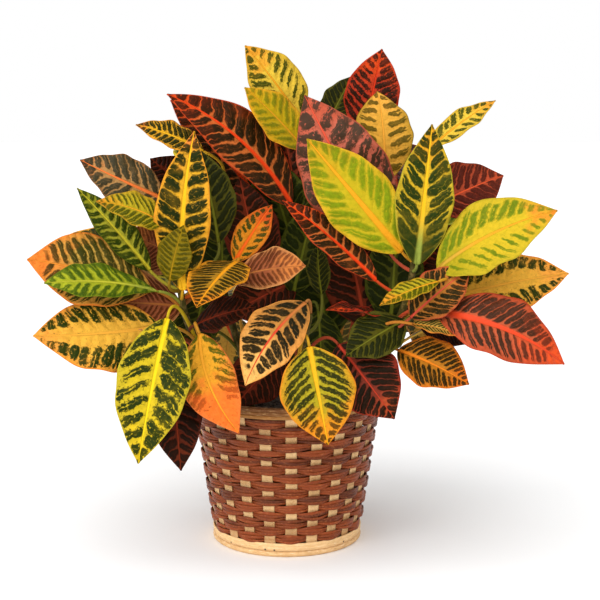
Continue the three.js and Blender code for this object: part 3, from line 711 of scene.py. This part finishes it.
def stem_point(stem, t):
    """A stem rises straight out of the soil, then leans out to its crown."""
    low = np.array([*stem["foot"], SOIL_TOP], float)
    lean, crown = np.array([stem["lean"], stem["crown"]], float)
    t = np.asarray(t, float)[..., None]
    return (
        (1 - t) ** 3 * low + 3 * (1 - t) ** 2 * t * (low + (0, 0, STEM_RISE))
        + 3 * (1 - t) * t ** 2 * lean + t ** 3 * crown
    )


def leaf_frame(spec):
    """Directions along a blade, up from its face and to its side, and its length."""
    along = spec["tip"] - spec["base"]
    length = np.linalg.norm(along)
    along = along / length
    up = spec["face"] - along * np.dot(spec["face"], along)
    up = up / np.linalg.norm(up)
    return along, up, np.cross(along, up), length


def petiole_path(stem, spec):
    """From inside the stem, below the leaf, to the base of the blade."""
    base = spec["base"]
    points = stem_point(stem, np.arange(LOWEST_PLACE, STEM_PLACES + 1) / STEM_PLACES)
    run = np.hypot(points[:, 0] - base[0], points[:, 1] - base[1])
    root = points[np.argmin(np.abs(points[:, 2] - (base[2] - PETIOLE_RISE * run)))]
    bend = base - leaf_frame(spec)[0] * PETIOLE_BEND * np.linalg.norm(base - root)
    t = np.linspace(0, 1, PETIOLE_STEPS)[:, None]
    return (1 - t) ** 2 * root + 2 * (1 - t) * t * bend + t ** 2 * base


def outline(s, peak):
    """Half the width of a blade, as a part of its largest: widest at the peak, pointed at the tip."""
    power = math.log(0.5) / math.log(peak)
    return np.sin(np.pi * s ** power).clip(0) ** (0.75 + 0.2 * s ** 3)


def blade(body, spec, seed, rows, columns):
    """A blade with a grooved midrib, raised cells between its veins and a waved margin."""
    up, side, length = leaf_frame(spec)[1:]
    rng = random.Random(seed)
    s = np.linspace(0, 1, rows + 1)[:, None]
    t = np.linspace(-1, 1, columns + 1)[None, :]
    ripple = 1 + RIPPLE * np.sin(2 * np.pi * (rng.uniform(3, 5) * s + rng.random()))
    half = np.maximum(spec["width"] / 2 * outline(s, spec["peak"]) * ripple, LEAST_HALF_WIDTH)
    wide = np.abs(t)
    out = wide * half / length
    veins, lean = spec["look"]["Veins"], spec["look"]["Lean"]
    wander = sum(
        np.sin(2 * np.pi * (rng.uniform(1.5, 4) * s + rng.uniform(-1, 1) * t) + any_phase(rng))
        for _ in range(3)
    )
    phase = veins * (s - lean * out - VEIN_CURVE * out ** 2) + VEIN_WANDER * wander * (0.4 + 0.6 * wide)
    away = np.clip(wide * 5, 0, 1) * np.clip((1 - wide) * 4, 0, 1) * np.clip(8 * s * (1 - s), 0, 1)
    cells = -CELL_RISE / 2 * np.cos(2 * np.pi * (phase + VEIN_STAGGER * (t > 0))) * away
    count = rng.uniform(2.2, 3.4)
    wave = WAVE * half * np.clip(6 * s * (1 - s), 0, 1) * wide ** 2.5 * (
        np.sin(2 * np.pi * (count * s + rng.random())) * (t > 0)
        + np.sin(2 * np.pi * (count * s + rng.random())) * (t < 0)
    )

    def by_the_rib(depth, reach):
        return depth * np.exp(-(wide * half / reach) ** 2) * (1 - s) ** 0.5

    arch = 4 * s * (1 - s) * length
    rise = wide ** 1.15 * half * spec["fold"] + cells + wave - by_the_rib(GROOVE_DEPTH, GROOVE_REACH)
    middle = (
        spec["base"] + s[..., None] * (spec["tip"] - spec["base"])
        + side * (spec["sweep"] * arch + t * half)[..., None] + up * (spec["bow"] * arch + rise)[..., None]
    )
    thick = BLADE_THICKNESS / 2 * (1 - EDGE_THINNING * wide ** 6)
    top = middle + up * thick[..., None]
    bottom = middle - up * (thick + by_the_rib(KEEL_DEPTH, KEEL_REACH))[..., None]
    place = np.stack(np.broadcast_arrays(s, t, out), axis=2).reshape(-1, 3)
    total = len(place)
    faces = grid_faces(rows + 1, columns + 1) + grid_faces(rows + 1, columns + 1, start=total, flip=True)
    rim = (
        [(0, j) for j in range(columns)] + [(i, columns) for i in range(rows)]
        + [(rows, columns - j) for j in range(columns)] + [(rows - i, 0) for i in range(rows)]
    )
    ring = [i * (columns + 1) + j for i, j in rim]
    faces += [(b, a, a + total, b + total) for a, b in zip(ring, ring[1:] + ring[:1])]
    body.add(
        np.concatenate([top.reshape(-1, 3), bottom.reshape(-1, 3)]), faces,
        leaf_place=np.concatenate([place, place]),
        leaf_phase=np.tile(phase.ravel(), 2),
        leaf_under=np.repeat([0.0, 1.0], total),
    )


def add_leaf(name, node, stem, spec, seed, grid):
    """A blade with its petiole."""
    body = Body()
    blade(body, spec, seed, *grid)
    radii = PETIOLE_RADIUS * np.linspace(1.15, 0.8, PETIOLE_STEPS)
    points, faces = tube(petiole_path(stem, spec), radii, PETIOLE_SIDES)
    total = len(points)
    body.add(
        points, faces, leaf_place=np.zeros((total, 3)), leaf_phase=np.zeros(total),
        leaf_under=np.full(total, PETIOLE_PALENESS),
    )
    given = {**spec["look"], "Seed": seed % 97 + 0.5}
    body.piece(name, "leaves", node, leaf_material(name, given))


def add_leaves(short, label, stem, leaves, first_seed, grid):
    for i, spec in enumerate(leaves):
        name = f"leaf_{short}_{label}{i + 1:02d}"
        add_leaf(name, f"leafy_stem_{short}", stem, spec, first_seed + i, grid)


def filling_leaves(stem):
    """Leaves up the far side of a stem, as the model places them."""
    filling = stem.get("filling")
    if not filling:
        return []
    state = filling["seed"]

    def draw(least=0.0, spread=1.0):
        nonlocal state
        state = (state * 1664525 + 1013904223) % 2 ** 32
        return least + spread * (state / 2 ** 32)

    first, last = filling["turn"]
    low, high = filling["rise"]
    made = []
    for i in range(filling["count"]):
        part = i / (filling["count"] - 1)
        turned = (i * GOLDEN_PART + FILLING_TURN_SPREAD * draw()) % 1
        turn = math.radians(first + (last - first) * turned)
        rise = math.radians(low + (high - low) * part + FILLING_RISE_SPREAD * (draw() - 0.5))
        reach = filling["length"] * draw(*FILLING_LENGTH)
        stalk = draw(*FILLING_STALK)
        width = reach * draw(*FILLING_WIDTH)
        heading = outward_at(turn) * math.cos(rise) + (0, 0, math.sin(rise))
        start = stem_point(stem, FILLING_LOWEST + (1 - FILLING_LOWEST) * part)
        base = start + heading * stalk + (0, 0, FILLING_LIFT)
        roll = math.radians(FILLING_ROLL if i % 2 else -FILLING_ROLL)
        face = outward_at(turn + math.pi / 2) * math.sin(roll) + (0, 0, math.cos(roll))
        if i not in filling["gaps"]:
            style = FILLING_LOOKS[(i * 5 + filling["seed"]) % len(FILLING_LOOKS)]
            made.append(leaf(base + heading * reach, base, width, face, style, FILLING_BOW))
    return made


def stem_material():
    g = Surface("stem_bark")
    place = g.place()
    grain = g.noise(place, 260.0, 4.0)
    bark = g.mix(g.noise(place, 45.0, 3.0), "38290f", "4c4a1a")
    bark = g.mix(g.ramp(grain, 0.45, 0.7), bark, "6e5c30")
    return g.dress(bark, 0.7, grain, 0.0008, specular=0.1)


def add_stems():
    bark = stem_material()
    for number, (short, stem) in enumerate(STEMS.items()):
        node = f"leafy_stem_{short}"
        rng = random.Random(700 + number)
        foot = [[*stem["foot"], z] for z in np.linspace(STEM_FOOT_Z, SOIL_TOP - 4, FOOT_STEPS)]
        path = np.concatenate([foot, stem_point(stem, np.linspace(0, 1, STEM_STEPS))])
        scars = 1 + 0.07 * np.abs(np.sin(np.arange(len(path)) * 0.83 + rng.random()))
        radii = STEM_RADIUS * np.linspace(1.08, 0.66, len(path)) * scars
        radii[-1] *= 0.4
        body = Body()
        body.add(*tube(path, radii, STEM_SIDES))
        body.piece(f"stem_{short}", "leaves", node, bark)
        inner = [{**spec, "width": spec["width"] * INNER_FULLNESS} for spec in stem["inner"]]
        seed = 1000 * number
        add_leaves(short, "", stem, stem["leaves"], seed + 1, BLADE_GRID)
        add_leaves(short, "inner_", stem, inner, seed + 300, BLADE_GRID)
        add_leaves(short, "far_", stem, filling_leaves(stem), seed + 500, FILLING_GRID)


# Basket

def reed_material(name, deep, middle, pale, roughness, fibre):
    """Split reed: its tone varies from strand to strand, and fine fibres run along it; its pale fibre
    streaks are partly grain and partly painted highlight glints.
    """
    g = Surface(name)
    along, across, tone = g.split(g.attribute("reed_place", "Vector"))
    fibres = g.noise(g.vector(along * 0.35, across * 2.5, tone * 31), fibre, 4.0, 0.6)
    clouds = g.noise(g.vector(along * 0.35, tone, 0.0), 1.4)
    face = g.mix(g.ramp(tone * 0.6 + clouds * 0.4, 0.15, 0.75), deep, middle)
    # Pale streaks along the fibres: partly the reed's grain, partly painted highlight glints
    face = g.mix(g.ramp(fibres, 0.5, 0.75) * 0.75, face, pale)
    face = g.mix(g.ramp(fibres, 0.48, 0.3) * 0.5, face, deep)
    return g.dress(face, fibres * 0.15 + roughness, fibres, 0.0004, 0.8, specular=0.22)


def oval(half_thickness, half_height, sides, power):
    """A flattened section; a power below 1 makes it squarer."""
    turn = around(sides)
    c, s = np.cos(turn), np.sin(turn)
    return np.stack([
        half_thickness * np.sign(c) * np.abs(c) ** power,
        half_height * np.sign(s) * np.abs(s) ** power,
    ], axis=1)


def lean_in(section):
    """The section leans with the wall."""
    return section + section[..., 1:] * (WALL_SLOPE, 0)


def uneven(rng, turn, least, most, waves):
    """A sum of waves round the basket, each with its own size and start."""
    return sum(rng.uniform(least, most) * np.sin(k * turn + any_phase(rng)) for k in waves)


def add_reed(body, radius, height, section, tones):
    """A reed round the basket, with each point's place along and round it, and its tone."""
    steps = len(radius)
    sides = section.shape[-2]
    place = np.stack([
        np.repeat(around(steps) * HOOP_GRAIN, sides),
        np.tile(np.arange(sides) / sides, steps),
        np.repeat(tones, sides),
    ], axis=1)
    body.add(*ring_sweep(radius, height, section), reed_place=place)


def add_weave(material):
    """Each row is a few fine strands side by side, outside one stake and inside the next."""
    turn = around(STAKE_COUNT * STEPS_PER_STAKE)
    stakes_passed = (turn - stake_angle(0)) * STAKE_COUNT / (2 * np.pi)
    share = ROW_HEIGHT / STRANDS
    section = oval(STRAND_THICKNESS / 2, share / 2 * STRAND_OVERLAP, STRAND_SIDES, 0.8)
    for row in range(ROW_COUNT):
        rng = random.Random(300 + row)
        swing = np.cos(np.pi * stakes_passed) * (-1) ** row
        bend = 2 * ((swing + 1) / 2) ** 0.55 - 1
        size = 1 + FRONT_GROWTH * np.clip(swing, 0, 1) - BACK_LOSS * np.clip(-swing, 0, 1)
        sections = lean_in(section * np.stack([np.ones_like(size), size], axis=1)[:, None, :])
        middle = FIRST_ROW_Z + row * ROW_PITCH + ROW_HEIGHT / 2
        body = Body()
        for strand in range(STRANDS):
            spread = (strand - (STRANDS - 1) / 2) * share
            height = middle + spread * size + uneven(rng, turn, 0.08, 0.34, (2, 5, 9, 14))
            depth = rng.uniform(-0.15, 0.2) + 0.12 * np.sin(7 * turn + any_phase(rng))
            tone = min(max(rng.gauss(0.5, 0.26), 0), 1)
            tones = np.clip(tone + 0.2 * np.sin(3 * turn + any_phase(rng)), 0, 1)
            add_reed(body, wall_radius(height) + ROW_SWING * bend + depth, height, sections, tones)
        body.piece(f"row_{row + 1:02d}", "brown_reed", f"weaver_{row + 1:02d}", material)


def add_stakes(material):
    """Flat stakes with a shallow groove down the middle."""
    across = np.array([-1, -0.85, -0.5, -0.15, 0, 0.15, 0.5, 0.85, 1, 0.85, 0.4, 0, -0.4, -0.85])
    front = np.array([0, 0.75, 1, 0.8, 0.55, 0.8, 1, 0.75, 0, -0.75, -1, -1, -1, -0.75])
    sides = len(across)
    last = (STAKE_STEPS - 1) * sides
    faces = grid_faces(STAKE_STEPS, sides, wrap_columns=True, flip=True)
    faces += [tuple(range(sides)), tuple(reversed(range(last, last + sides)))]
    for i in range(STAKE_COUNT):
        rng = random.Random(900 + i)
        outward = outward_at(stake_angle(i))
        sideways = outward_at(stake_angle(i) + math.pi / 2)
        shift = rng.uniform(-0.4, 0.4)
        points = []
        place = []
        for k, z in enumerate(np.linspace(BAND_BOTTOM, BASKET_HEIGHT - STAKE_DROP, STAKE_STEPS)):
            width = STAKE_WIDTH / 2 * (1 + 0.04 * math.sin(k * 0.4 + i))
            points.append(
                outward * wall_radius(z) + (0, 0, z) + np.outer(front * STAKE_THICKNESS / 2, outward)
                + np.outer(across * width + shift * math.sin(k * 0.15), sideways)
            )
            tone = rng.uniform(0.25, 0.8)
            place.append([(z * STAKE_GRAIN, edge / 2, tone) for edge in across])
        body = Body()
        body.add(np.concatenate(points), faces, reed_place=np.concatenate(place))
        body.piece(f"reed_stake_{i + 1:02d}", "pale_reed", f"stake_{i + 1:02d}", material)


def add_hoops(name, node, material, hoops, is_round=False):
    """A piece of reeds bent round the basket, a little uneven.

    Each hoop has its offset outside the middle of the stakes, its height, half
    its thickness, half the height of its section, its seed, its tone and its wander.
    """
    turn = around(HOOP_STEPS)
    body = Body()
    for offset, z, half_thickness, half_height, seed, tone, wander in hoops:
        rng = random.Random(seed)
        height = z + wander * uneven(rng, turn, 0.3, 1, (2, 3, 7))
        radius = wall_radius(height) + offset + 0.5 * wander * np.sin(5 * turn + any_phase(rng))
        section = oval(half_thickness, half_height, HOOP_SIDES, 1.0 if is_round else 0.7)
        section = section if is_round else lean_in(section)
        add_reed(body, radius, height, section, np.full(HOOP_STEPS, tone))
    body.piece(name, "pale_reed", node, material)


def add_rim(material):
    # The rim's reeds are brown and darker upwards: partly their own colour, partly painted shade under the
    # leaves
    low = BASKET_HEIGHT - RIM_HEIGHT
    add_hoops("rim_outside", "rim_outer", material, [
        (2.9, low + 2.0, 1.5, 1.85, 41, 0.7, 0.16),
        (3.1, low + 5.5, 1.5, 1.85, 42, 0.3, 0.16),
        (2.8, low + 8.7, 1.5, 1.85, 43, 0.15, 0.16),
        (1.3, BASKET_HEIGHT - 1.2, 1.1, 1.1, 47, 0.1, 0.08),
    ])
    add_hoops("rim_inside", "rim_inner", material, [
        (-2.3, low + 2.6, 1.2, 2.3, 51, 0.2, 0.12),
        (-2.3, low + 7.0, 1.2, 2.3, 52, 0.2, 0.12),
        (-1.6, BASKET_HEIGHT - 1.5, 1.0, 1.2, 57, 0.1, 0.08),
    ])


def add_base(material, iron):
    add_hoops("base_strips", "base_band", material, [
        (2.3, BAND_BOTTOM + BAND_HEIGHT * 0.72, 0.9, 2.2, 61, 0.95, 0.1),
        (2.5, BAND_BOTTOM + BAND_HEIGHT * 0.28, 0.95, 2.3, 62, 0.75, 0.1),
    ])
    add_hoops("base_round", "base_hoop", material, [
        (1.45, HOOP_RADIUS, HOOP_RADIUS + 0.3, HOOP_RADIUS, 63, 0.6, 0.0),
    ], is_round=True)
    nails = Body()
    rng = random.Random(77)
    for angle in NAIL_ANGLES:
        z = BAND_BOTTOM + NAIL_HEIGHT + rng.uniform(-0.5, 0.5)
        outward = outward_at(math.radians(angle))
        centre = outward * (wall_radius(z) + NAIL_REACH) + (0, 0, z)
        path = [centre - outward * 1.5, centre, centre + outward * 0.25]
        nails.add(*tube(path, [0.9, 0.95, 0.6], NAIL_SIDES))
    nails.piece("base_nails", "brown_reed", "base_band", iron)


def iron_material():
    g = Surface("nail_iron")
    rust = g.noise(g.place(), 900.0, 3.0)
    return g.dress(g.mix(rust, "2c2018", "5a4030"), 0.55, metallic=0.4)


def board_material():
    """A plain round board of pale wood, with its grain along X."""
    g = Surface("reed_board")
    x, y, z = g.split(g.place())
    grain = g.noise(g.vector(x * 14, y * 320, z * 320), 1.0, 4.0, 0.6)
    face = g.mix(grain, "a87440", "e0bc84")
    return g.dress(face, grain * 0.2 + 0.55, grain, 0.0003, 0.6)


# Pot and soil

def plastic_material():
    g = Surface("pot_plastic")
    marks = g.noise(g.place(), 120.0, 3.0)
    face = g.mix(marks, "171615", "2a2826")
    return g.dress(face, marks * 0.2 + 0.42, marks, 0.0002, 0.5)


def soil_material():
    g = Surface("soil_mix")
    place = g.place()
    crumbs = g.noise(place, 220.0, 6.0, 0.7)
    patches = g.ramp(g.noise(place, 60.0, 3.0), 0.5, 0.7)
    earth = g.mix(crumbs, "17100b", "4a3626")
    earth = g.mix(patches * 0.4, earth, "6a5236")
    return g.dress(earth, 0.95, crumbs, 0.003)


def pot_radius(z):
    part = (z - POT_FLOOR) / (POT_HEIGHT - POT_FLOOR)
    return POT_RADIUS_BOTTOM + (POT_RADIUS_TOP - POT_RADIUS_BOTTOM) * part


def add_pot():
    """A thin plastic pot with rounded edges and a flat lip."""
    lip = POT_HEIGHT - POT_LIP_HEIGHT
    inside = POT_FLOOR + POT_WALL
    profile = [
        (AXIS, POT_FLOOR), (POT_RADIUS_BOTTOM - POT_EDGE, POT_FLOOR),
        (POT_RADIUS_BOTTOM, POT_FLOOR + POT_EDGE),
        *((pot_radius(z), z) for z in np.linspace(POT_FLOOR + 12, lip - 1, 8)),
        (POT_LIP_RADIUS - POT_EDGE, lip), (POT_LIP_RADIUS, lip + POT_EDGE),
        (POT_LIP_RADIUS, POT_HEIGHT - POT_EDGE), (POT_LIP_RADIUS - POT_EDGE, POT_HEIGHT),
        (POT_RADIUS_TOP, POT_HEIGHT), (POT_RADIUS_TOP - POT_WALL, POT_HEIGHT - POT_EDGE),
        *((pot_radius(z) - POT_WALL, z) for z in np.linspace(lip - 4, inside, 8)),
        (AXIS, inside),
    ]
    body = Body()
    body.add(*ring_sweep(np.zeros(POT_SIDES), np.zeros(POT_SIDES), np.array(profile)))
    body.piece("pot", "pot_plastic", "grow_pot", plastic_material())


def add_soil():
    """Potting mix: a heaped, crumbly surface, with larger lumps lying on it."""
    low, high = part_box("soil")
    rim = high.x / MM - SOIL_GAP
    rng = random.Random(5)
    part = np.linspace(0.002, 1, SOIL_RINGS)[:, None]
    turn = around(SOIL_SIDES)
    x = rim * part * np.cos(turn)
    y = rim * part * np.sin(turn)
    rough = sum(
        amount * np.sin(x * math.cos(a) / size + y * math.sin(a) / size + any_phase(rng))
        for size, amount, count in ((9, 0.5, 4), (3.2, 0.35, 6), (1.4, 0.25, 8))
        for a in [any_phase(rng) for _ in range(count)]
    )
    z = SOIL_TOP - SOIL_GAP - SOIL_EDGE_DROP * part ** SOIL_HEAP + rough * np.clip((1 - part) * 12, 0, 1)
    rings = [np.stack([x, y, z], axis=2).reshape(-1, 3)]
    foot = POT_RADIUS_BOTTOM - POT_WALL - 0.5
    wall = [(rim, SOIL_TOP - SOIL_EDGE_DROP - 2), (foot, low.z / MM), (AXIS, low.z / MM)]
    for radius, level in wall:
        ring = [radius * np.cos(turn), radius * np.sin(turn), np.full(SOIL_SIDES, level)]
        rings.append(np.stack(ring, axis=1))
    body = Body()
    body.add(np.concatenate(rings), grid_faces(SOIL_RINGS + len(wall), SOIL_SIDES, wrap_columns=True))
    for _ in range(LUMP_COUNT):
        reach = rim * math.sqrt(rng.random()) * 0.97
        angle = rng.uniform(0, 2 * math.pi)
        size = rng.uniform(0.8, 2.6)
        level = SOIL_TOP - 0.4 - SOIL_EDGE_DROP * (reach / rim) ** SOIL_HEAP
        body.add(*lump(outward_at(angle) * reach + (0, 0, level), size, rng))
    body.piece("soil_mix", "soil", "soil", soil_material())


def lump(centre, size, rng):
    """A small uneven clod or chip of bark."""
    rings, sides = 4, 7
    squash = size * np.array([rng.uniform(0.8, 1.3), rng.uniform(0.6, 1), rng.uniform(0.4, 0.8)])
    spin = any_phase(rng)
    axes = np.array([outward_at(spin), outward_at(spin + math.pi / 2), (0, 0, 1)])
    pole = (0, 0, squash[2])
    points = [centre + pole]
    for i in range(1, rings):
        tilt = math.pi * i / rings
        for turn in around(sides):
            local = outward_at(turn) * math.sin(tilt) + (0, 0, math.cos(tilt))
            points.append(centre + (local * squash * rng.uniform(0.8, 1.15)) @ axes)
    points.append(centre - pole)
    last = len(points) - 1
    start = last - sides
    faces = [(0, 1 + j, 1 + (j + 1) % sides) for j in range(sides)]
    faces += grid_faces(rings - 1, sides, start=1, wrap_columns=True, flip=True)
    faces += [(last, start + (j + 1) % sides, start + j) for j in range(sides)]
    return np.array(points), faces


# Camera, light and floor

def add_camera():
    camera = add_object("camera", bpy.data.cameras.new("camera"))
    camera.location = [c * MM for c in CAMERA_PLACE]
    camera.rotation_euler = (math.radians(90 - CAMERA_PITCH), 0, 0)
    camera.data.lens = CAMERA_LENS
    camera.data.sensor_width = CAMERA_SENSOR
    camera.data.clip_end = 100
    bpy.context.scene.camera = camera


def add_light(name, kind, energy, place, direction, **settings):
    light = bpy.data.lights.new(name, kind)
    light.energy = energy
    for key, setting in settings.items():
        setattr(light, key, setting)
    lamp = add_object(name, light)
    lamp.location = place
    lamp.rotation_euler = Vector(direction).to_track_quat("-Z", "Y").to_euler()


def add_world():
    """White to the camera, and a little dimmer as a light."""
    world = bpy.data.worlds.new("studio")
    bpy.context.scene.world = world
    world.use_nodes = True
    world.node_tree.nodes.clear()
    g = Graph(world.node_tree)
    for_camera = g.value("ShaderNodeLightPath", {}, "Is Camera Ray")
    lit, seen = (
        g.value("ShaderNodeBackground", {"Color": WHITE, "Strength": strength})
        for strength in (SKY_LIGHT, 1.0)
    )
    sky = g.value("ShaderNodeMixShader", {0: for_camera, 1: lit, 2: seen})
    g.node("ShaderNodeOutputWorld", {"Surface": sky})


def add_floor():
    mesh = bpy.data.meshes.new("floor")
    corners = [(-FLOOR, -FLOOR, 0), (FLOOR, -FLOOR, 0), (FLOOR, FLOOR, 0), (-FLOOR, FLOOR, 0)]
    mesh.from_pydata(corners, [], [(0, 1, 2, 3)])
    mesh.materials.append(Surface("floor_paper").dress(PAPER, 0.9))
    add_object("floor", mesh)


# Places and directions of the lights are in metres
add_camera()
add_light("fill", "AREA", 6, (-1.5, -1.6, 0.7), (1.5, 1.6, -0.45), shape="DISK", size=1.2)
add_light("key", "SUN", 2.0, (0, 0, 0), (0.4, 0.8, -0.9), angle=math.radians(80))
add_world()
add_floor()
bpy.context.scene.view_settings.view_transform = "Standard"
bpy.context.scene.view_settings.look = "None"

# The third colour of each reed is that of its pale fibre streaks, partly painted highlight glints
brown = reed_material("reed_brown", "521e06", "8c3c14", "cc8048", 0.3, 5.0)
pale = reed_material("reed_pale", "a87038", "efc48a", "fae2ba", 0.5, 6.0)
# The rim's reed is darker than the pale reed: partly its own brown, partly painted shade under the leaves
rim_reed = reed_material("reed_rim", "5c2c0c", "a87034", "e8bc80", 0.45, 6.0)
add_stems()
add_weave(brown)
add_stakes(pale)
add_rim(rim_reed)
add_base(pale, iron_material())
add_pot()
add_soil()

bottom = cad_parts["basket_bottom"]
bottom.data.materials.clear()
bottom.data.materials.append(board_material())
